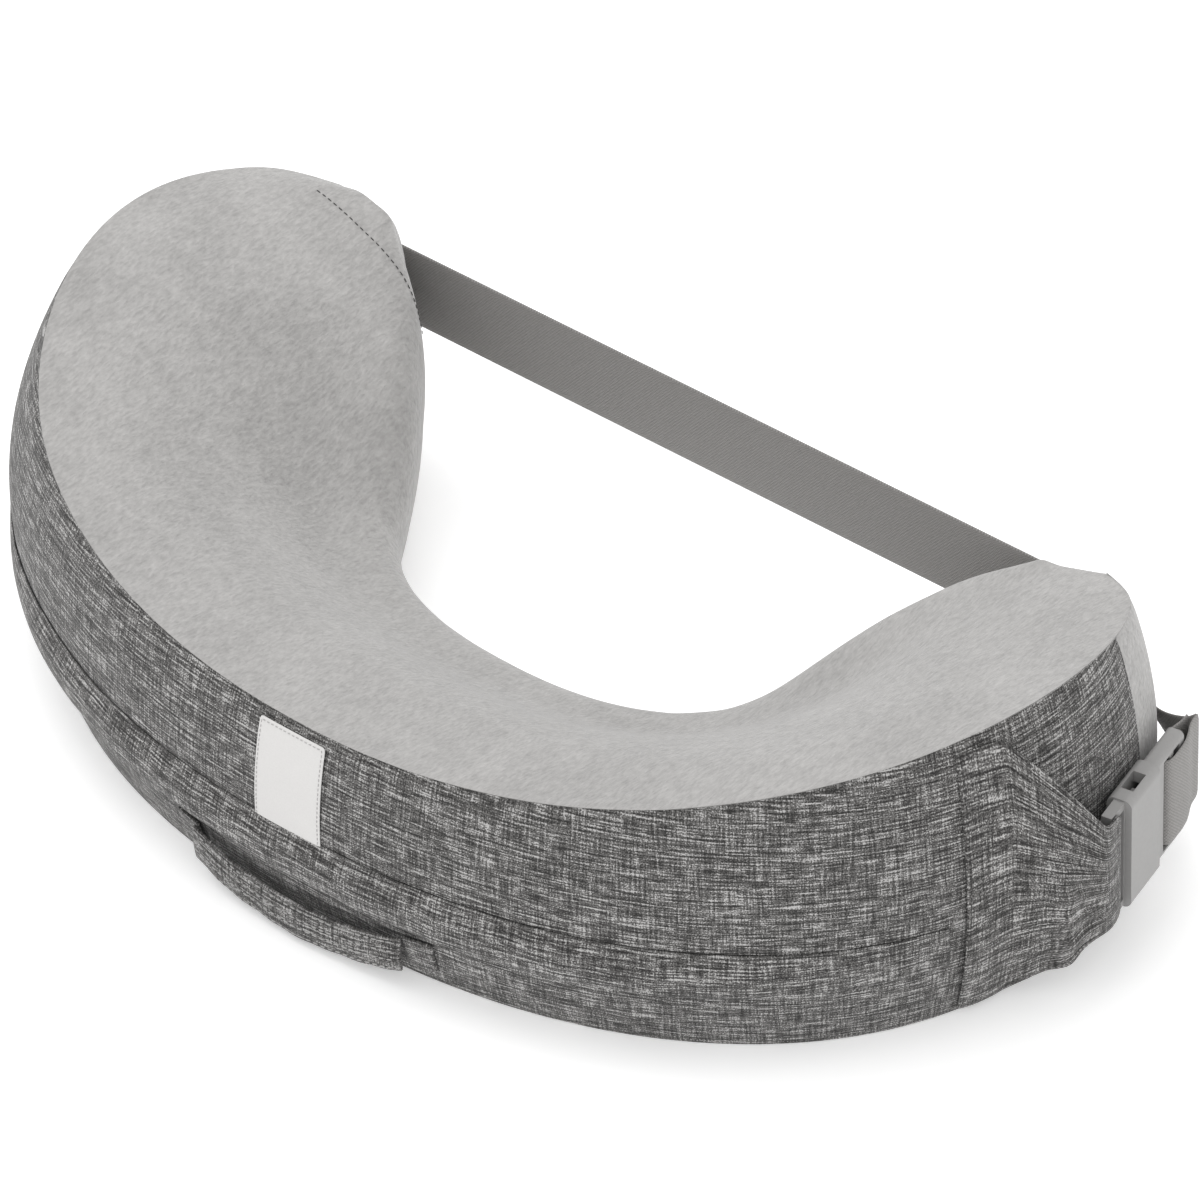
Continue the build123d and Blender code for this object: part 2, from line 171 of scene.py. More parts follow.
def cap_points(ring, side):
    """Rings that close the tip over its last section, and the point in their middle."""
    middle = ring.mean(axis=0)
    _, normal = station(side)
    tangent = side * np.array((-normal[1], normal[0], 0))
    rings = []
    for k in range(1, CAP_RINGS + 1):
        f = 1 - k / CAP_RINGS
        kept = ring * f + middle * (1 - f) if k < CAP_RINGS else middle[None, :]
        rings.append(kept + tangent * CAP_DEPTH * (1 - f**2) ** 0.5)
    return np.concatenate(rings)


def capped_again(points):
    """Closes the tips again after their last sections have moved."""
    body = len(T_VALUES) * ROWS
    caps = [cap_points(points[:ROWS], -1), cap_points(points[body - ROWS:body], 1)]
    return np.concatenate([points[:body]] + caps)


def pillow_grid():
    """Vertices (mm) and faces of the closed pillow, with rounded caps at the tips."""
    points = []
    for t in T_VALUES:
        foot, normal = station(along(t))
        points += [foot + normal * u + np.array((0, 0, z)) for u, z in section(along(t))]
    count = len(T_VALUES)
    faces = []
    for i in range(count - 1):
        for r in range(ROWS):
            n = (r + 1) % ROWS
            faces.append((i * ROWS + r, i * ROWS + n, (i + 1) * ROWS + n, (i + 1) * ROWS + r))
    for end, side in ((0, -1), (count - 1, 1)):
        start = len(points)
        points += list(cap_points(np.array(points[end * ROWS:(end + 1) * ROWS]), side))
        previous = [end * ROWS + r for r in range(ROWS)]
        for k in range(1, CAP_RINGS + 1):
            first = start + (k - 1) * ROWS
            for r in range(ROWS):
                n = (r + 1) % ROWS
                new = (first + n, first + r) if k < CAP_RINGS else (first,)
                quad = (previous[r], previous[n]) + new
                faces.append(quad if side > 0 else tuple(reversed(quad)))
            previous = [first + r for r in range(ROWS)]
    points = np.array(points)
    points[:, 2] = np.maximum(points[:, 2], 0)
    return points, faces


def new_mesh(name, points, faces, uv=None):
    """Mesh object from points in mm; uv holds one (u, v) in metres for each point."""
    mesh = bpy.data.meshes.new(name)
    mesh.from_pydata([tuple(p) for p in np.asarray(points) * MM], [], faces)
    mesh.update()
    if uv is not None:
        layer = mesh.uv_layers.new(name="UVMap")
        loops = np.zeros(len(mesh.loops), int)
        mesh.loops.foreach_get("vertex_index", loops)
        layer.data.foreach_set("uv", np.asarray(uv, float)[loops].ravel())
    mesh.polygons.foreach_set("use_smooth", [True] * len(mesh.polygons))
    obj = bpy.data.objects.new(name, mesh)
    bpy.context.scene.collection.objects.link(obj)
    return obj


CLOTH_STEPS = 20
SMOOTHING_ROUNDS, LIMIT_ROUNDS = 3, 4
CAP_SWELL, WALL_SWELL, WALL_SWELL_MORE, TOP_SWELL = 3.0, 0.4, 4.0, 4.5
SWELL_FROM, SWELL_FADE_IN, SWELL_UNTIL, SWELL_FADE_OUT = 0.42, 0.2, 0.85, 0.06


def swelling(rest, faces):
    """Cloth pressure on the pillow: how far each vertex moves, in mm. Seams and base are held."""
    probe = new_mesh("swelling", rest, faces)
    pins = probe.vertex_groups.new(name="held")
    held = []
    for i in range(len(T_VALUES)):
        held += [i * ROWS + SEAM, i * ROWS] + [i * ROWS + r for r in range(FOOT, ROWS)]
    pins.add(held, 1.0, "REPLACE")
    cloth = probe.modifiers.new("cloth", "CLOTH").settings
    cloth.quality = 5
    cloth.mass = 0.3
    cloth.use_pressure = True
    cloth.uniform_pressure_force = 4
    cloth.effector_weights.gravity = 0
    cloth.vertex_group_mass = "held"
    cloth.tension_stiffness = cloth.compression_stiffness = 15
    cloth.bending_stiffness = 0.5
    for step in range(1, CLOTH_STEPS + 1):
        bpy.context.scene.frame_set(step)
    settled = probe.evaluated_get(bpy.context.evaluated_depsgraph_get())
    moved = np.zeros(len(rest) * 3)
    settled.data.vertices.foreach_get("co", moved)
    bpy.context.scene.frame_set(1)
    bpy.data.objects.remove(probe)
    return moved.reshape(-1, 3) / MM - rest


def swell_cap(i, r):
    """Most that a vertex may swell, in mm: little behind the zip, label and handle."""
    t = abs(T_VALUES[i])
    side = smooth((t - SWELL_FROM) / SWELL_FADE_IN)
    if r < SEAM:
        return WALL_SWELL + WALL_SWELL_MORE * side * (1 - smooth((t - SWELL_UNTIL) / SWELL_FADE_OUT))
    if r >= FOOT:
        return 0.0
    return TOP_SWELL


def neighbour_mean(values, faces, rounds):
    """Evens out a value per vertex over the faces around it."""
    corner = [np.array([f[k % len(f)] for f in faces]) for k in range(4)]
    for _ in range(rounds):
        total, count = np.zeros_like(values), np.zeros((len(values), 1))
        face_mean = sum(values[c] for c in corner) / 4
        for c in corner:
            np.add.at(total, c, face_mean)
            np.add.at(count, c, 1)
        values = total / count
    return values


def mesh_normals(points, faces):
    normal = np.zeros_like(points)
    corner = [np.array([f[k % len(f)] for f in faces]) for k in range(4)]
    face_normal = np.cross(points[corner[2]] - points[corner[0]], points[corner[3]] - points[corner[1]])
    for c in corner:
        np.add.at(normal, c, face_normal)
    return normal / np.maximum(np.linalg.norm(normal, axis=1, keepdims=True), 1e-9)


# Lean, lift and crown of the left (-1) and the right (1) lobe, in mm
LOBE_HEIGHT, LOBE_START, LOBE_FADE = 150.0, 0.45, 0.35
LOBE_LEAN = {-1: 8.5, 1: -2.5}
LOBE_LIFT = {-1: 8.0, 1: 2.0}
LOBE_CROWN = {-1: 4.0, 1: -7.0}
SIDE_BULGE, SIDE_BULGE_AT, SIDE_BULGE_REACH = 7.0, 0.66, 0.16
SHOULDER_FILL, SHOULDER_UP, SHOULDER_IN = 10.0, 0.6, 0.8
SHOULDER_REACH, SHOULDER_ROUNDS, LEAST_WEIGHT = 8.0, 45, 0.02


def rounded_shoulder(points):
    """Fills out and evens the sections where the top rolls over into the inner wall."""
    count = len(T_VALUES)
    grid = points[:count * ROWS].reshape(count, ROWS, 3).copy()
    nearness = np.exp(-((np.arange(ROWS) - SHOULDER) / SHOULDER_REACH)**2)
    for i, t in enumerate(T_VALUES):
        outward = station(along(t))[1]
        fill = SHOULDER_FILL * tip_fade(along(t))
        grid[i] += nearness[:, None] * fill * (np.array((0, 0, SHOULDER_UP)) - SHOULDER_IN * outward)
    weight = nearness[None, :, None] * (nearness[None, :, None] > LEAST_WEIGHT)
    for _ in range(SHOULDER_ROUNDS):
        mean = (np.roll(grid, 1, axis=1) + np.roll(grid, -1, axis=1)) / 2
        grid = grid + (mean - grid) * weight
    points = points.copy()
    points[:count * ROWS] = grid.reshape(-1, 3)
    return points


def shaped_lobes(points):
    """Leans and lifts the two lobes, which the filling makes uneven, and swells the left side."""
    for i, t in enumerate(T_VALUES):
        outward = station(along(t))[1]
        side = 1 if t > 0 else -1
        weight = smooth((abs(t) - LOBE_START) / LOBE_FADE)
        swell = SIDE_BULGE * np.exp(-((t + SIDE_BULGE_AT) / SIDE_BULGE_REACH) ** 2)
        for r in range(ROWS):
            k = i * ROWS + r
            high = (points[k][2] / LOBE_HEIGHT)**2 * weight
            points[k] -= outward * LOBE_LEAN[side] * high
            points[k][2] += LOBE_LIFT[side] * high
            if r < SEAM:
                points[k] += outward * swell * 4 * WALL_ROWS[r] * (1 - WALL_ROWS[r])
            elif r < SHOULDER:
                share = TOP_ROWS[r - SEAM]
                points[k][2] += LOBE_CROWN[side] * weight * 4 * share * (1 - share)
    return points


ROLL, ROLL_AT, ROLL_WIDTH = 3.8, 3.2, 3.0
GROOVE, GROOVE_WIDTH = 2.2, 1.4
ROLL_OUT, ROLL_UP, ROLL_ROWS = 0.75, 0.2, 9
WALL_PULL, WALL_PULL_WIDTH, WALL_PULL_ROWS = 1.3, 3.0, 4


def seam_roll(points):
    """The pile rolls over the seam, and the seam itself is pulled in."""
    points = points.copy()
    for i, t in enumerate(T_VALUES):
        line = i * ROWS + SEAM
        outward = station(along(t))[1]
        for r in range(SEAM, SEAM + ROLL_ROWS):
            distance = np.linalg.norm(points[i * ROWS + r] - points[line])
            roll = ROLL * np.exp(-((distance - ROLL_AT) / ROLL_WIDTH) ** 2)
            roll -= GROOVE * np.exp(-(distance / GROOVE_WIDTH) ** 2)
            points[i * ROWS + r] += outward * roll * ROLL_OUT + np.array((0, 0, roll * ROLL_UP))
        for r in range(SEAM - WALL_PULL_ROWS, SEAM):
            distance = np.linalg.norm(points[i * ROWS + r] - points[line])
            points[i * ROWS + r] -= outward * WALL_PULL * np.exp(-(distance / WALL_PULL_WIDTH) ** 2)
    points[:, 2] = np.maximum(points[:, 2], 0)
    return points


def filled_surface():
    """The stuffed pillow without its seams: vertices in mm and faces."""
    points, faces = pillow_grid()
    normal = mesh_normals(points, faces)
    if np.einsum("ij,ij->i", normal, points - points.mean(axis=0)).mean() < 0:
        faces = [tuple(reversed(f)) for f in faces]
    move = neighbour_mean(swelling(points, faces), faces, SMOOTHING_ROUNDS)
    limit = np.full(len(points), CAP_SWELL)
    for i in range(len(T_VALUES)):
        for r in range(ROWS):
            limit[i * ROWS + r] = swell_cap(i, r)
    limit = neighbour_mean(limit[:, None], faces, LIMIT_ROUNDS)
    length = np.linalg.norm(move, axis=1, keepdims=True)
    points = points + move * np.minimum(1, limit / np.maximum(length, 1e-6))
    return capped_again(shaped_lobes(rounded_shoulder(points))), faces


filling, surface_faces = filled_surface()
filling_normals = mesh_normals(filling, surface_faces)
surface = seam_roll(filling)
surface_normals = mesh_normals(surface, surface_faces)
T_ARRAY = np.array(T_VALUES)


def wall(s, z, out=0.0):
    """Point on the finished outer wall at station s and height z, out mm off it."""
    t = copysign(abs(s) ** (2 / SPINE_POWER), s)
    i = min(max(np.interp(t, T_ARRAY, np.arange(len(T_ARRAY))), 0), len(T_ARRAY) - 1.001)
    share = min(max(z / seam_height(s), 0), 0.999)
    r = np.interp(share, WALL_ROWS + [1.0], np.arange(SEAM + 1))
    i0, r0 = int(i), int(min(r, SEAM - 1))
    fi, fr = i - i0, r - r0
    a = surface[i0 * ROWS + r0] * (1 - fr) + surface[i0 * ROWS + r0 + 1] * fr
    b = surface[(i0 + 1) * ROWS + r0] * (1 - fr) + surface[(i0 + 1) * ROWS + r0 + 1] * fr
    point = a * (1 - fi) + b * fi + station(s)[1] * out
    point[2] = z
    return point


# ---- materials -----------------------------------------------------------------------------
class Nodes:
    """Short way to wire a procedural material."""

    def __init__(self, name, roughness, sheen=0.0):
        self.material = bpy.data.materials.new(name)
        self.material.use_nodes = True
        self.tree = self.material.node_tree
        self.shader = self.tree.nodes["Principled BSDF"]
        self.shader.inputs["Roughness"].default_value = roughness
        self.shader.inputs["Specular IOR Level"].default_value = 0.25
        self.shader.inputs["Sheen Weight"].default_value = sheen
        self.shader.inputs["Sheen Roughness"].default_value = 0.45

    def put(self, value, socket):
        if isinstance(value, bpy.types.NodeSocket):
            self.tree.links.new(value, socket)
        else:
            socket.default_value = value

    def coordinates(self, kind):
        return self.tree.nodes.new("ShaderNodeTexCoord").outputs[kind]

    def noise(self, where, scale, detail=2.0, offset=(0, 0, 0)):
        mapping = self.tree.nodes.new("ShaderNodeMapping")
        mapping.inputs["Scale"].default_value = scale
        mapping.inputs["Location"].default_value = offset
        self.tree.links.new(where, mapping.inputs["Vector"])
        noise = self.tree.nodes.new("ShaderNodeTexNoise")
        noise.inputs["Scale"].default_value = 1.0
        noise.inputs["Detail"].default_value = detail
        self.tree.links.new(mapping.outputs[0], noise.inputs["Vector"])
        return noise.outputs["Fac"]

    def math(self, operation, a, b=0.0, c=0.0):
        node = self.tree.nodes.new("ShaderNodeMath")
        node.operation = operation
        for value, socket in zip((a, b, c), node.inputs):
            self.put(value, socket)
        return node.outputs[0]

    def add(self, *terms):
        """Weighted sum of (output, weight) about each output's middle, plus 0.5."""
        total = 0.5
        for value, weight in terms:
            total = self.math("MULTIPLY_ADD", self.math("SUBTRACT", value, 0.5), weight, total)
        return total

    def ramp(self, value, stops):
        node = self.tree.nodes.new("ShaderNodeValToRGB")
        elements = node.color_ramp.elements
        for k, (place, grey) in enumerate(stops):
            element = elements[k] if k < 2 else elements.new(place)
            element.position = place
            element.color = (*grey, 1)
        self.put(value, node.inputs[0])
        return node.outputs[0]

    def finish(self, colour, height, strength, distance):
        self.put(colour, self.shader.inputs["Base Color"])
        bump = self.tree.nodes.new("ShaderNodeBump")
        bump.inputs["Strength"].default_value = strength
        bump.inputs["Distance"].default_value = distance
        self.put(height, bump.inputs["Height"])
        self.tree.links.new(bump.outputs[0], self.shader.inputs["Normal"])
        return self.material


def warm(grey, tint=0.03):
    """Grey in linear light, a little warm."""
    return (grey, grey * (1 - tint), grey * (1 - 2 * tint))


def slub_weave(name):
    n = Nodes(name, 0.92, sheen=0.15)
    uv = n.coordinates("UV")
    across = n.noise(uv, (90, 1050, 1), 1.0)
    long_slub = n.noise(uv, (26, 900, 1), 0.0, (7, 3, 0))
    upright = n.noise(uv, (950, 70, 1), 1.0, (3, 9, 0))
    patches = n.noise(uv, (40, 40, 1), 2.0, (5, 5, 0))
    flecks = n.noise(uv, (1500, 1500, 1), 0.0)
    value = n.add((across, 1.8), (long_slub, 0.9), (upright, 1.2), (flecks, 1.4), (patches, 0.1))
    colour = n.ramp(value, [(0.05, warm(0.024)), (1.0, warm(0.46, 0.015)), (0.34, warm(0.070)),
                            (0.56, warm(0.118)), (0.80, warm(0.215, 0.02))])
    return n.finish(colour, value, 0.5, 0.0006)


def plush_pile(name):
    n = Nodes(name, 0.95, sheen=0.35)
    place = n.coordinates("Object")
    streaks = n.noise(place, (760, 300, 420), 3.0)
    nap = n.noise(place, (260, 120, 160), 2.0, (4, 0, 0))
    clouds = n.noise(place, (20, 24, 18), 2.0)
    value = n.add((streaks, 0.8), (nap, 0.45), (clouds, 0.4))
    colour = n.ramp(value, [(0.15, warm(0.265, 0.02)), (0.85, warm(0.445, 0.02)),
                            (0.5, warm(0.355, 0.02))])
    return n.finish(colour, n.add((streaks, 0.9), (nap, 0.9)), 0.6, 0.0013)


RIB_PITCH, ROW_PITCH = 0.0016, 0.0018


def ribbed_webbing(name, light):
    n = Nodes(name, 0.8, sheen=0.1)
    uv = n.coordinates("UV")
    parts = n.tree.nodes.new("ShaderNodeSeparateXYZ")
    n.tree.links.new(uv, parts.inputs[0])
    ribs = n.math("SINE", n.math("MULTIPLY", parts.outputs[0], 2 * pi / RIB_PITCH))
    rows = n.math("SINE", n.math("MULTIPLY", parts.outputs[1], 2 * pi / ROW_PITCH))
    height = n.math("MULTIPLY_ADD", n.math("MULTIPLY", ribs, rows), 0.35, 0.5)
    flecks = n.noise(uv, (500, 900, 1), 2.0)
    value = n.add((height, 0.8), (flecks, 0.5))
    colour = n.ramp(value, [(0.1, warm(light * 0.7)), (0.9, warm(light * 1.3)), (0.5, warm(light))])
    return n.finish(colour, height, 0.5, 0.0005)


def speckled(name, grey, roughness, scale=500, spread=0.12, bump=0.15, metallic=0.0):
    """Plain material with a fine grain, for moulded, metal and hidden pieces."""
    n = Nodes(name, roughness)
    n.shader.inputs["Metallic"].default_value = metallic
    place = n.coordinates("Object")
    grain = n.noise(place, (scale, scale, scale), 3.0)
    wide = n.noise(place, (30, 30, 30), 2.0)
    value = n.add((grain, 0.7), (wide, 0.5))
    low, high = warm(grey * (1 - spread), 0.015), warm(grey * (1 + spread), 0.015)
    return n.finish(n.ramp(value, [(0.2, low), (0.8, high)]), grain, bump, 0.0003)


WEAVE = slub_weave("slub_weave")
PLUSH = plush_pile("plush_pile")
WEBBING = ribbed_webbing("webbing", 0.25)
PLASTIC = speckled("buckle_plastic", 0.30, 0.42, bump=0.06, spread=0.05)
LABEL = speckled("label_satin", 0.62, 0.6, scale=1400, bump=0.25, spread=0.05)
THREAD_DARK = speckled("thread_dark", 0.05, 0.8)
THREAD_PALE = speckled("thread_pale", 0.38, 0.8)
TAPE = speckled("zip_tape_weave", 0.13, 0.9, scale=1500, bump=0.4)
COIL = speckled("zip_coil_nylon", 0.14, 0.5)
METAL = speckled("zip_metal", 0.3, 0.4, metallic=0.8)
FOAM = speckled("foam_cells", 0.7, 0.95, scale=900, bump=0.5)
LINER = speckled("liner_knit", 0.75, 0.95, scale=1200, bump=0.3)


def dress(obj, material, body="pillow", replaces=()):
    """Gives a new piece its material and body, and hides the nodes it replaces."""
    obj.data.materials.clear()
    obj.data.materials.append(material)
    if replaces:
        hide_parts(*replaces)
    if body:
        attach(obj, body)
    return obj


def subdivide(obj):
    modifier = obj.modifiers.new("smooth", "SUBSURF")
    modifier.levels = modifier.render_levels = 1


# ---- cover panels from the finished surface ------------------------------------------------
GRID = (len(T_VALUES) - 1) * ROWS
BAND_SHARE = 0.39
BAND_ROW = next(k for k, share in enumerate(WALL_ROWS) if share > BAND_SHARE)
RUN_ROW = 10


def panel_of(face):
    """Which cover panel a face of the pillow belongs to."""
    if face >= GRID:
        left = face < GRID + CAP_RINGS * ROWS
        return "plush_end_left" if left else "plush_end_right"
    i, r = divmod(face, ROWS)
    if SEAM <= r < FOOT:
        return "plush_top"
    if r >= FOOT:
        return "woven_base"
    middle = (T_VALUES[i] + T_VALUES[i + 1]) / 2
    if abs(middle) > WALL_END:
        return "plush_end_left" if middle < 0 else "plush_end_right"
    return "woven_band" if r < BAND_ROW else "woven_wall"


def surface_uv():
    """Distance along the wall and height up it, in metres, for each point of the surface."""
    uv = np.zeros((len(surface), 2))
    run = 0.0
    for i in range(len(T_VALUES)):
        if i:
            run += np.linalg.norm(surface[i * ROWS + RUN_ROW] - surface[(i - 1) * ROWS + RUN_ROW])
        for r in range(ROWS):
            k = i * ROWS + r
            up = surface[k][2] if r <= SEAM else seam_height(0) + r - SEAM
            if r >= FOOT:
                up = -np.linalg.norm(surface[k] - surface[i * ROWS])
            uv[k] = (run, up)
    uv[len(T_VALUES) * ROWS:] = surface[len(T_VALUES) * ROWS:, 1:]
    return uv * MM


PANELS = {
    "plush_top": (PLUSH, "plush", ["top_panel", "inner_panel"]),
    "plush_end_left": (PLUSH, "plush", ["end_panel_left"]),
    "plush_end_right": (PLUSH, "plush", ["end_panel_right"]),
    "woven_wall": (WEAVE, "woven_cover", ["outer_wall"]),
    "woven_band": (WEAVE, "woven_cover", ["lower_band"]),
    "woven_base": (WEAVE, "woven_cover", ["base_panel"]),
}


def make_panels():
    uv = surface_uv()
    groups = {name: [] for name in PANELS}
    for k, face in enumerate(surface_faces):
        groups[panel_of(k)].append(face)
    for name, (material, slot, nodes) in PANELS.items():
        used = sorted({v for face in groups[name] for v in face})
        place = {v: k for k, v in enumerate(used)}
        faces = [tuple(place[v] for v in face) for face in groups[name]]
        panel = new_mesh(name, surface[used], faces, uv[used])
        subdivide(panel)
        dress(panel, material, replaces=nodes)


LINER_INSET, FOAM_INSET = 5.0, 7.0


def make_filling():
    """Foam and its liner, the same form as the cover a few millimetres further in."""
    for name, inset, material, slot, node in (("liner_bag", LINER_INSET, LINER, "liner", "foam_liner"),
                                              ("foam_filling", FOAM_INSET, FOAM, "foam", "foam_core")):
        piece = new_mesh(name, filling - filling_normals * inset, surface_faces)
        dress(piece, material, replaces=[node])


make_panels()
make_filling()


# ---- sheets, ribbons and stitches ----------------------------------------------------------
def run_along(path):
    """Distance from the start of a path to each of its points."""
    return np.concatenate([[0], np.cumsum(np.linalg.norm(np.diff(path, axis=0), axis=1))])


def grid_sheet(name, rows, thickness, material, body="pillow", replaces=()):
    """Sheet through rows of points in mm, thickened evenly to both sides."""
    rows = np.array(rows)
    count, width = rows.shape[:2]
    points = rows.reshape(-1, 3)
    faces = [(i * width + j, (i + 1) * width + j, (i + 1) * width + j + 1, i * width + j + 1)
             for i in range(count - 1) for j in range(width - 1)]
    runs, ups = run_along(rows[:, width // 2]), run_along(rows[count // 2])
    uv = np.array([(run, up) for run in runs for up in ups]) * MM
    sheet = new_mesh(name, points, faces, uv)
    thick = sheet.modifiers.new("thickness", "SOLIDIFY")
    thick.thickness = thickness * MM
    thick.offset = 0.0
    subdivide(sheet)
    return dress(sheet, material, body, replaces)


def declare_sheet(rows):
    """Turns the rows into an array and does nothing more with them."""
    rows = np.array(rows)


STITCH_SIDES = 6
STITCH_RINGS = ((0, 0.35), (0.2, 1), (0.8, 1), (1, 0.35))


def waves(terms, x):
    """Sum of small waves at x, each given as (height, rate, phase)."""
    return sum(height * sin(rate * x + phase) for height, rate, phase in terms)


def stitches(name, path, outward, material, body="pillow", length=2.6, gap=1.5, radius=0.35):
    """Dashes of thread along a path, each a small six-sided capsule."""
    path, outward = np.array(path), np.array(outward)
    run = run_along(path)
    points, faces = [], []
    sides = range(STITCH_SIDES)
    at = gap
    while at + length < run[-1]:
        ends = [np.array([np.interp(d, run, path[:, k]) for k in range(3)]) for d in (at, at + length)]
        up = np.array([np.interp(at, run, outward[:, k]) for k in range(3)])
        forward = (ends[1] - ends[0]) / max(np.linalg.norm(ends[1] - ends[0]), 1e-6)
        up = up / np.linalg.norm(up)
        side = np.cross(forward, up)
        first = len(points)
        for share, size in STITCH_RINGS:
            centre = ends[0] + (ends[1] - ends[0]) * share
            for k in sides:
                angle = 2 * pi * k / STITCH_SIDES
                points.append(centre + (side * cos(angle) + up * sin(angle)) * radius * size)
        for ring in range(len(STITCH_RINGS) - 1):
            near = first + ring * STITCH_SIDES
            far = near + STITCH_SIDES
            for k in sides:
                n = (k + 1) % STITCH_SIDES
                faces.append((near + k, near + n, far + n, far + k))
        faces.append(tuple(first + k for k in reversed(sides)))
        faces.append(tuple(far + k for k in sides))
        at += length + gap
    return dress(new_mesh(name, points, faces), material, body)


# ---- blank woven label ---------------------------------------------------------------------
label_low, label_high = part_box("woven_label")
LABEL_Z = (label_low.z / MM, label_high.z / MM)
LABEL_HALF = (label_high.x - label_low.x) / 2 / MM
LABEL_ACROSS, LABEL_UP, LABEL_OUT, LABEL_THREAD_OUT = 12, 14, 1.0, 1.45
STATION_LIMIT, HALVINGS, STATION_Z = 0.35, 30, 40


def station_at(x):
    """Station near the front where the wall, STATION_Z up, has reached x."""
    low, high = 0.0, STATION_LIMIT
    for _ in range(HALVINGS):
        middle = (low + high) / 2
        low, high = (middle, high) if wall(middle, STATION_Z)[0] < x else (low, middle)
    return low


label_edge = station_at(LABEL_HALF)
label_levels = [LABEL_Z[0] + (LABEL_Z[1] - LABEL_Z[0]) * j / LABEL_UP for j in range(LABEL_UP + 1)]
label_rows = [[wall(label_edge * (2 * i / LABEL_ACROSS - 1), z, LABEL_OUT) for z in label_levels]
              for i in range(LABEL_ACROSS + 1)]
grid_sheet("label_patch", label_rows, 0.7, LABEL, replaces=["woven_label"])
LABEL_HEM = 1.6
shares = np.linspace(-1, 1, 12)
edge = label_edge * (1 - LABEL_HEM / LABEL_HALF)
low, high = LABEL_Z[0] + LABEL_HEM, LABEL_Z[1] - LABEL_HEM
ring = [(edge * k, low) for k in shares] + [(edge, z) for z in np.linspace(low, high, 12)]
ring += [(-edge * k, high) for k in shares] + [(-edge, z) for z in np.linspace(high, low, 12)]
stitches("label_stitch", [wall(s, z, LABEL_THREAD_OUT) for s, z in ring], [station(s)[1] for s, z in ring],
         THREAD_PALE, length=1.5, gap=0.9, radius=0.2)

# ---- zip flap ------------------------------------------------------------------------------
FLAP_REACH = along(0.7)
FLAP_PROFILE = [(0.1, 62), (1.2, 59.5), (2.9, 56.5), (4.4, 53), (5.3, 49.5), (5.6, 46), (5.5, 42),
                (5.2, 39.2), (4.6, 38.2), (4.1, 39), (4.0, 41)]
FLAP_STEPS, FLAP_FADE, FLAP_OUT, FLAP_FLAT = 120, 0.30, 0.5, 0.12
FLAP_WAVES = ((0.35, 61, 0), (0.25, 137, 1))
flap_rows = []
for i in range(FLAP_STEPS + 1):
    s = FLAP_REACH * (2 * i / FLAP_STEPS - 1)
    fade = smooth((FLAP_REACH - abs(s)) / FLAP_FADE)
    ripple = waves(FLAP_WAVES, s)
    flap_rows.append([wall(s, z + ripple * (out > 1), FLAP_OUT + out * (FLAP_FLAT + (1 - FLAP_FLAT) * fade))
                      for out, z in FLAP_PROFILE])
grid_sheet("flap_fold", flap_rows, 0.8, WEAVE, replaces=["zip_flap"])

# ---- wings ---------------------------------------------------------------------------------
WING_START, WING_END = 0.685, 0.845
WING_LOW, WING_END_LOW, WING_END_HIGH, WING_SEAM_GAP = 2.5, 34, 100, 3
WING_ROWS, WING_OUT, WING_OUT_MORE = 34, 1.5, 1.2
# Place, lean, height, widths before and after, top and fade of the main pleat
WALL_PLEAT = (0.50, 0.14, 6.0, 0.05, 0.13, 0.74, 0.35)
LIFTED_PLEAT = (0.40, 0.16, 4.5, 0.07, 0.18, 0.78, 0.35)
buckle_turn = radians(10)
BUCKLE_AXIS = np.array((-sin(buckle_turn), cos(buckle_turn), 0))
BUCKLE_OUT = np.array((cos(buckle_turn), sin(buckle_turn), 0))
prong_places = [np.array(joint["pos_m"]) / MM for joint in frame["record"]["behaviour"]["joints"]
                if joint["name"].startswith("prong_squeeze")]
BUCKLE = sum(prong_places) / len(prong_places)


def at_buckle(x, y, out):
    """Point given along the buckle, up it and away from the pillow, in mm."""
    return BUCKLE + BUCKLE_AXIS * x + BUCKLE_OUT * out + np.array((0, 0, y))


def wing_edges(s):
    share = (abs(s) - WING_START) / (WING_END - WING_START)
    seam = seam_height(s) - WING_SEAM_GAP
    low = WING_LOW + (WING_END_LOW - WING_LOW) * max(share, 0)**4
    return low, seam + (WING_END_HIGH - seam) * max(share, 0)**3


def main_pleat(shape, share, v):
    """Height of the pleat across a wing, steep on one side and gone near the top."""
    at, lean, height, before, after, top, fade = shape
    offset = share - at - lean * (0.5 - v)
    width = before if offset < 0 else after
    return height * np.exp(-(offset / width) ** 2) * smooth((top - v) / fade)


def wing_column(side, share):
    """Points up a wing that lies on the wall, at a share of the way to its end."""
    s = side * (WING_START + (WING_END - WING_START) * share)
    low, high = wing_edges(s)
    column = []
    for j in range(WING_ROWS):
        v = j / (WING_ROWS - 1)
        z = low + (high - low) * v
        weight = 0.5 + 0.30 * (1 - share) * (0.5 - v)
        pleat = main_pleat(WALL_PLEAT, share, v)
        pleat += 2.2 * np.exp(-((share - 0.80 + 0.10 * v) / 0.05) ** 2) * smooth((0.9 - v) / 0.3)
        soft = 1.4 * sin(11 * share + 5 * v) * weight + 0.7 * sin(29 * share - 7 * v) * share
        column.append(wall(s, z, WING_OUT + WING_OUT_MORE * share + max(pleat + soft, -1.0)))
    return column


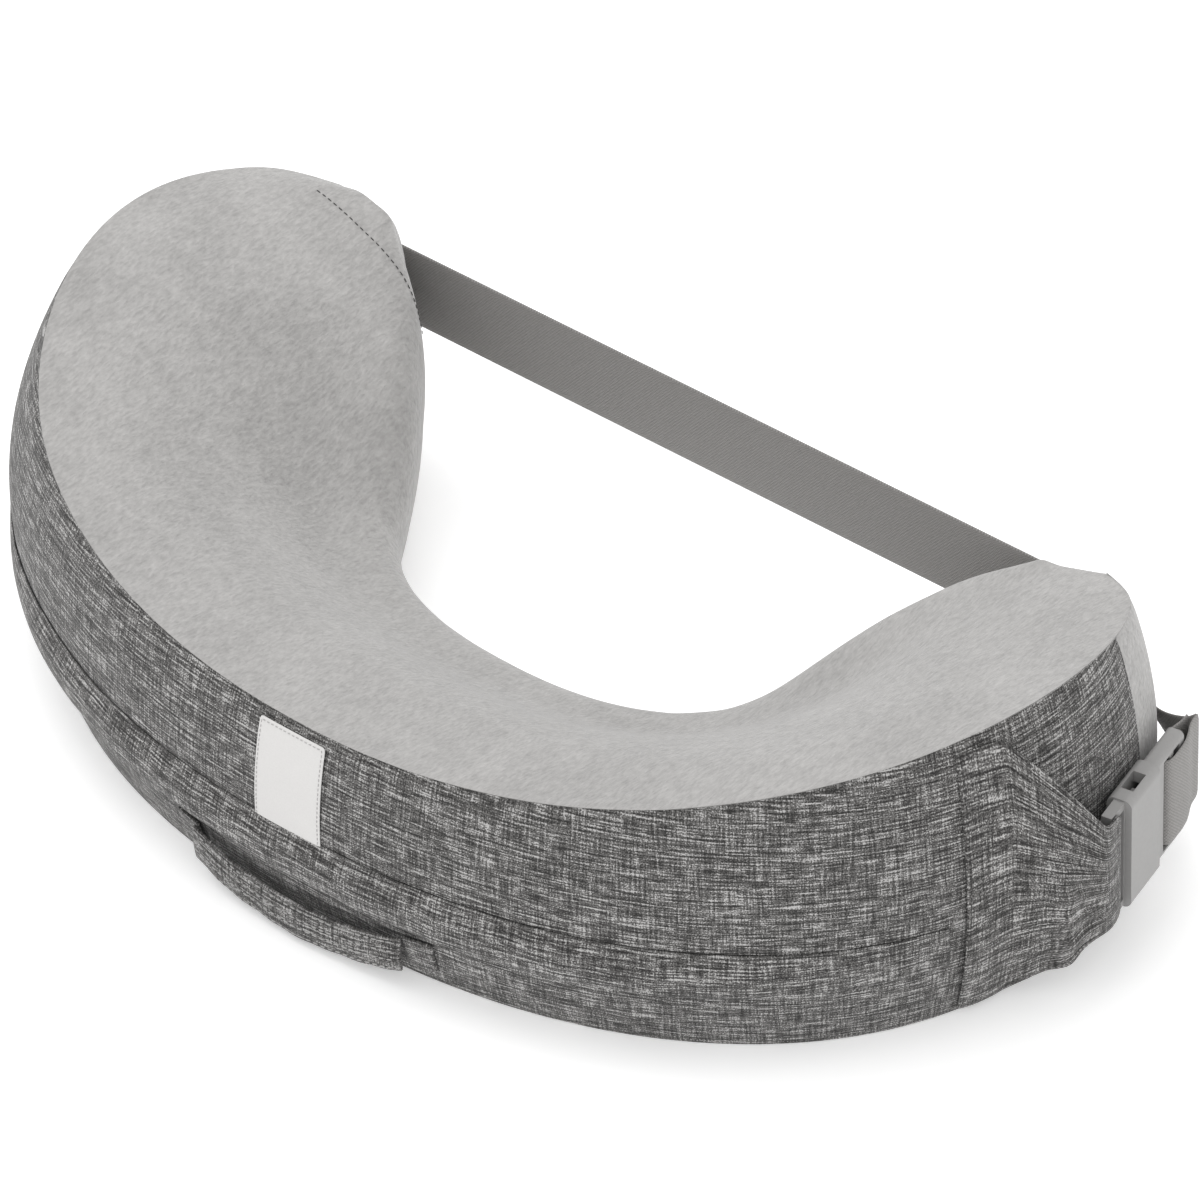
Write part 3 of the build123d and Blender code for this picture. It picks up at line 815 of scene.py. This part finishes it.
# The right wing leaves the wall and gathers towards the buckle's bar.
LIFT_SHARE, LIFT_STEPS, WALL_COLUMNS, LEFT_COLUMNS = 0.3, 22, 9, 26
BAR_X, BAR_REACH, BAR_OUT = -45, 29, 4.6
BOW, GATHER, GATHER_COUNT, GATHER_SLANT = 2.0, 0.9, 7, 0.6
right_columns = [wing_column(1, LIFT_SHARE * k / WALL_COLUMNS) for k in range(WALL_COLUMNS + 1)]
leaving = np.array(right_columns[-1])
at_bar = np.array([at_buckle(BAR_X, y, BAR_OUT) for y in np.linspace(-BAR_REACH, BAR_REACH, WING_ROWS)])
for k in range(1, LIFT_STEPS):
    share = k / LIFT_STEPS
    column = leaving + (at_bar - leaving) * share
    for j, v in enumerate(np.linspace(0, 1, len(column))):
        gathers = GATHER * sin(2 * pi * (GATHER_COUNT * v + GATHER_SLANT * share))
        gathers *= smooth(share / 0.6)
        gathers *= smooth((1 - share) / 0.3)
        column[j] += BUCKLE_OUT * (BOW * sin(pi * share) + main_pleat(LIFTED_PLEAT, share, v) + gathers)
    right_columns.append(list(column))
# Along the buckle, away from the pillow and half the height, round the bar and through its slot
LOOP_LINE = ((-43, 4.2, 30), (-39, 3.9, 30.5), (-35.5, 3.9, 30), (-32.6, 3.6, 26.5), (-30.6, 1.2, 24.6),
             (-30.4, -1.2, 24.5), (-32, -3.2, 24.5), (-36, -3.9, 24.5), (-40, -4.1, 24.5), (-46, -5.2, 24.5))
for x, out, half in LOOP_LINE:
    right_columns.append([at_buckle(x, y, out) for y in np.linspace(-half, half, WING_ROWS)])
wing_right = grid_sheet("wing_right_cloth", right_columns, 1.3, WEAVE,
                        replaces=["wing_right", "wing_loop"])
declare_sheet(right_columns)
left_columns = [wing_column(-1, k / LEFT_COLUMNS) for k in range(LEFT_COLUMNS + 1)]
wing_left = grid_sheet("wing_left_cloth", left_columns, 1.3, WEAVE, replaces=["wing_left"])
declare_sheet(left_columns)
WING_HEM, WING_THREAD_OUT, WING_THREAD_GAPS, THREAD_POINTS = 0.004, 2.4, (5, 6), 30
for side, name in ((-1, "left"), (1, "right")):
    s = side * (WING_START + WING_HEM)
    heights = np.linspace(WING_THREAD_GAPS[0], seam_height(s) - WING_THREAD_GAPS[1], THREAD_POINTS)
    stitches(f"wing_stitch_{name}", [wall(s, z, WING_THREAD_OUT) for z in heights],
             [station(s)[1]] * THREAD_POINTS, THREAD_DARK)

# ---- carry handle --------------------------------------------------------------------------
handle_low, handle_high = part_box("carry_handle")
HANDLE_HALF = (handle_high.x - handle_low.x) / 2 / MM
HANDLE_TOP = handle_high.z / MM
HANDLE_Y = handle_high.y / MM
HANDLE_STEPS, HANDLE_ROWS, HANDLE_WAVES = 60, 8, ((0.5, 9, 1), (0.35, 23, 0))
HANDLE_SAG, HANDLE_WIDTH, HANDLE_LEAST_Z = 7.5, 19.6, 1.6
HANDLE_OUT, HANDLE_BOW, HANDLE_FLARE, HANDLE_RIPPLE, HANDLE_ROUND = 1.0, 5.0, 0.1, 0.6, 0.9
handle_rows = []
for i in range(HANDLE_STEPS + 1):
    share = 2 * i / HANDLE_STEPS - 1
    hang = 1 - share**2
    ripple = waves(HANDLE_WAVES, share)
    row = []
    for j in range(HANDLE_ROWS + 1):
        v = j / HANDLE_ROWS
        out = HANDLE_OUT + HANDLE_BOW * hang * (1 + HANDLE_FLARE * v)
        out += HANDLE_RIPPLE * ripple * v
        out += HANDLE_ROUND * sin(pi * v)
        z = HANDLE_TOP - HANDLE_SAG * hang - HANDLE_WIDTH * v
        row.append(np.array((HANDLE_HALF * share, HANDLE_Y - out, max(z, HANDLE_LEAST_Z))))
    handle_rows.append(row)
grid_sheet("handle_band", handle_rows, 1.8, WEAVE, body="handle", replaces=["carry_handle"])
TAB_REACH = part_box("handle_tabs")[1].x / MM
TAB_STEPS, TAB_DROP, TAB_WIDTH, TAB_OUT, TAB_OUT_LESS = 12, 0.3, 19.4, 1.9, 0.9
for side, name in ((-1, "left"), (1, "right")):
    inner_s, outer_s = station_at(HANDLE_HALF - 1), station_at(TAB_REACH)
    levels = [HANDLE_TOP - TAB_DROP - TAB_WIDTH * j / HANDLE_ROWS for j in range(HANDLE_ROWS + 1)]
    rows = []
    for k in range(TAB_STEPS + 1):
        s = side * (inner_s + (outer_s - inner_s) * k / TAB_STEPS)
        rows.append([wall(s, z, TAB_OUT - TAB_OUT_LESS * k / TAB_STEPS) for z in levels])
    grid_sheet(f"handle_end_{name}", rows, 1.6, WEAVE)
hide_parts("handle_tabs")
HANDLE_THREAD_OUT = 1.15
for k, j in enumerate((1, 3, 5, 7)):
    path = [row[j] - np.array((0, HANDLE_THREAD_OUT, 0)) for row in handle_rows]
    stitches(f"handle_stitch_{k}", path, [(0, -1, 0)] * len(path), THREAD_PALE,
             body="handle", radius=0.38)

# ---- webbing -------------------------------------------------------------------------------
STRAP_Y, STRAP_Z, STRAP_END_Z, STRAP_LEAN = 222.6, 80.0, 66, 5.0
CORNER_X, CORNER_Y, STRAIGHT_END = 87.5, 72.0, 205.0
BACK_STEPS, CORNER_STEPS, BACK_OVERLAP = 60, 20, 10
TAIL_X, TAIL_THREAD_X = -291.0, -292.3
RIBBON_STEPS = 6


def ribbon(name, centres, ups, width, thickness, material, body="pillow", replaces=()):
    """Flat strap whose middle line and upward direction are given, in mm."""
    rows = [[np.array(c) + u * width * (k / RIBBON_STEPS - 0.5) for k in range(RIBBON_STEPS + 1)]
            for c, u in zip(centres, ups)]
    return grid_sheet(name, rows, thickness, material, body, replaces)


def left_turn():
    """Strap line and width direction from the back round the left tip."""
    centres, ups = [], []
    for share in np.linspace(0, 1, CORNER_STEPS):
        angle = radians(90 * share)
        x = -(STRAIGHT_END + CORNER_X * sin(angle))
        y = STRAP_Y - CORNER_Y * (1 - cos(angle))
        z = STRAP_Z + (STRAP_END_Z - STRAP_Z) * share
        lean = radians(STRAP_LEAN * (1 - share))
        heading = np.array((-CORNER_X * cos(angle), -CORNER_Y * sin(angle), 0))
        heading /= np.linalg.norm(heading)
        inward = np.array((heading[1], -heading[0], 0))
        centres.append(np.array((x, y, z)))
        ups.append(inward * sin(lean) + np.array((0, 0, cos(lean))))
    return centres, ups


lean = radians(STRAP_LEAN)
back_x = np.linspace(STRAIGHT_END - BACK_OVERLAP, -STRAIGHT_END, BACK_STEPS)
back_centres = [np.array((x, STRAP_Y, STRAP_Z)) for x in back_x]
back_ups = [np.array((0, -sin(lean), cos(lean)))] * len(back_centres)
left_centres, left_ups = left_turn()
tail = [np.array((TAIL_X, y, STRAP_END_Z)) for y in (140, 130, 119)]
ribbon("waist_webbing", back_centres + left_centres[1:] + tail,
       back_ups + left_ups[1:] + [np.array((0, 0, 1))] * len(tail),
       50, 1.8, WEBBING, replaces=["waist_strap"])
for k, y in enumerate((121.0, 124.0, 138.0)):
    line = [np.array((TAIL_THREAD_X, y, z)) for z in np.linspace(44, 88, 20)]
    stitches(f"strap_end_stitch_{k}", line, [(-1, 0, 0)] * len(line), THREAD_DARK, radius=0.3)
# Middle of the webbing from the back round the right tip to the adjuster
TIP_ROUTE = [np.array(p) for p in ((188.0, 222.6, 80.0), (205.0, 222.5, 78.5), (224.0, 220.0, 71.0),
                                   (245.0, 214.0, 58.5), (264.0, 206.0, 53.5), (278.0, 198.5, 58.0))]
TIP_ROUTE.append(at_buckle(44, 0, 1.2))
TIP_SHARES, TIP_TILT = np.linspace(0, 1, 36), 24
right_centres = [through(TIP_ROUTE, share) for share in TIP_SHARES]
right_ups = []
for share, heading in zip(TIP_SHARES, np.gradient(np.array(right_centres), axis=0)):
    tilt = radians(STRAP_LEAN * (1 - share) + TIP_TILT * sin(pi * share) ** 2)
    inward = np.array((heading[1], -heading[0], 0)) / np.hypot(heading[0], heading[1])
    right_ups.append(inward * sin(tilt) + np.array((0, 0, cos(tilt))))
tip_web = ribbon("tip_webbing", right_centres, right_ups, 49.6, 1.6, WEBBING, body=None)
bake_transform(tip_web)
# Along the buckle and away from the pillow: in, round the adjuster's bar and back
LAYER = 5.2
end_line = [(43, -2.6), (40, -2.4), (36, -2.6), (28, -LAYER), (18, -LAYER), (11, -LAYER), (9.7, -3), (9.7, 3),
            (11, LAYER), (18, LAYER), (28, LAYER), (36, 1.8), (40, 1.2), (46, 1.2)]
ribbon("adjuster_webbing", [at_buckle(x, 0, out) for x, out in end_line],
       [np.array((0, 0, 1.0))] * len(end_line), 49.8, 1.6, WEBBING, body="tongue",
       replaces=["strap_end"])

# ---- sewn line over the left lobe, near its end ---------------------------------------------
LOBE_SEAM_T, LOBE_SEAM_ROWS = -0.961, (SEAM + 18, SHOULDER + 2)
lobe_section = min(range(len(T_VALUES)), key=lambda i: abs(T_VALUES[i] - LOBE_SEAM_T))
lobe_line = [lobe_section * ROWS + r for r in range(*LOBE_SEAM_ROWS)]
stitches("lobe_stitch", surface[lobe_line] + surface_normals[lobe_line] * 0.2, surface_normals[lobe_line],
         THREAD_DARK, length=2.2, gap=1.3, radius=0.24)

# ---- carried-over nodes --------------------------------------------------------------------
CARRIED = {
    "zip_tape_upper": TAPE, "zip_tape_lower": TAPE, "zip_coil": COIL,
    "zip_stops": METAL, "zip_slider": METAL, "zip_pull": METAL,
    "buckle_female": PLASTIC, "buckle_male": PLASTIC, "prong_upper": PLASTIC, "prong_lower": PLASTIC,
}
for node, material in CARRIED.items():
    obj = frame["nodes"][node]
    obj.data.materials.clear()
    obj.data.materials.append(material)


# ---- studio --------------------------------------------------------------------------------
def floor():
    """Plain pale floor, a little below the pillow."""
    half = 6.0
    mesh = bpy.data.meshes.new("floor")
    corners = [(-half, -half, 0), (half, -half, 0), (half, half, 0), (-half, half, 0)]
    mesh.from_pydata(corners, [], [(0, 1, 2, 3)])
    obj = bpy.data.objects.new("floor", mesh)
    obj.location.z = -0.0006
    bpy.context.scene.collection.objects.link(obj)
    material = bpy.data.materials.new("floor")
    material.use_nodes = True
    shader = material.node_tree.nodes["Principled BSDF"]
    shader.inputs["Base Color"].default_value = (0.93, 0.93, 0.93, 1)
    shader.inputs["Roughness"].default_value = 1.0
    shader.inputs["Specular IOR Level"].default_value = 0.0
    shader.inputs["Emission Color"].default_value = (1, 1, 1, 1)
    shader.inputs["Emission Strength"].default_value = 0.28
    mesh.materials.append(material)


def area_light(name, place, size, power):
    """Soft light that points at the pillow."""
    light = bpy.data.lights.new(name, "AREA")
    light.size = size
    light.energy = power
    obj = bpy.data.objects.new(name, light)
    obj.location = place
    obj.rotation_euler = (LIGHT_TARGET - Vector(place)).to_track_quat("-Z", "Y").to_euler()
    bpy.context.scene.collection.objects.link(obj)


def camera():
    """Long lens from the front right, a little rolled."""
    azimuth, elevation, roll = radians(41.9), radians(40.4), radians(-2.87)
    target, distance = Vector((0.0177, 0.1100, 0.0722)), 3.475
    back = Vector((sin(azimuth) * cos(elevation), -cos(azimuth) * cos(elevation), sin(elevation)))
    right = Vector((cos(azimuth), sin(azimuth), 0))
    up = back.cross(right)
    rolled_right = right * cos(roll) + up * sin(roll)
    rolled_up = up * cos(roll) - right * sin(roll)
    data = bpy.data.cameras.new("camera")
    data.sensor_width = 36
    data.lens = 234.6
    obj = bpy.data.objects.new("camera", data)
    obj.matrix_world = Matrix.Translation(target + back * distance) @ Matrix(
        (rolled_right, rolled_up, back)).transposed().to_4x4()
    bpy.context.scene.collection.objects.link(obj)
    bpy.context.scene.camera = obj


floor()
camera()
world = bpy.data.worlds.new("studio")
world.use_nodes = True
world.node_tree.nodes["Background"].inputs["Color"].default_value = (1, 1, 1, 1)
world.node_tree.nodes["Background"].inputs["Strength"].default_value = 0.95
bpy.context.scene.world = world
LIGHT_TARGET = Vector((0, 0.1, 0.05))
area_light("key", (-0.7, 0.3, 2.2), 2.4, 24)
area_light("fill", (1.4, -1.6, 1.3), 2.0, 5)
bpy.context.scene.view_settings.view_transform = "Standard"
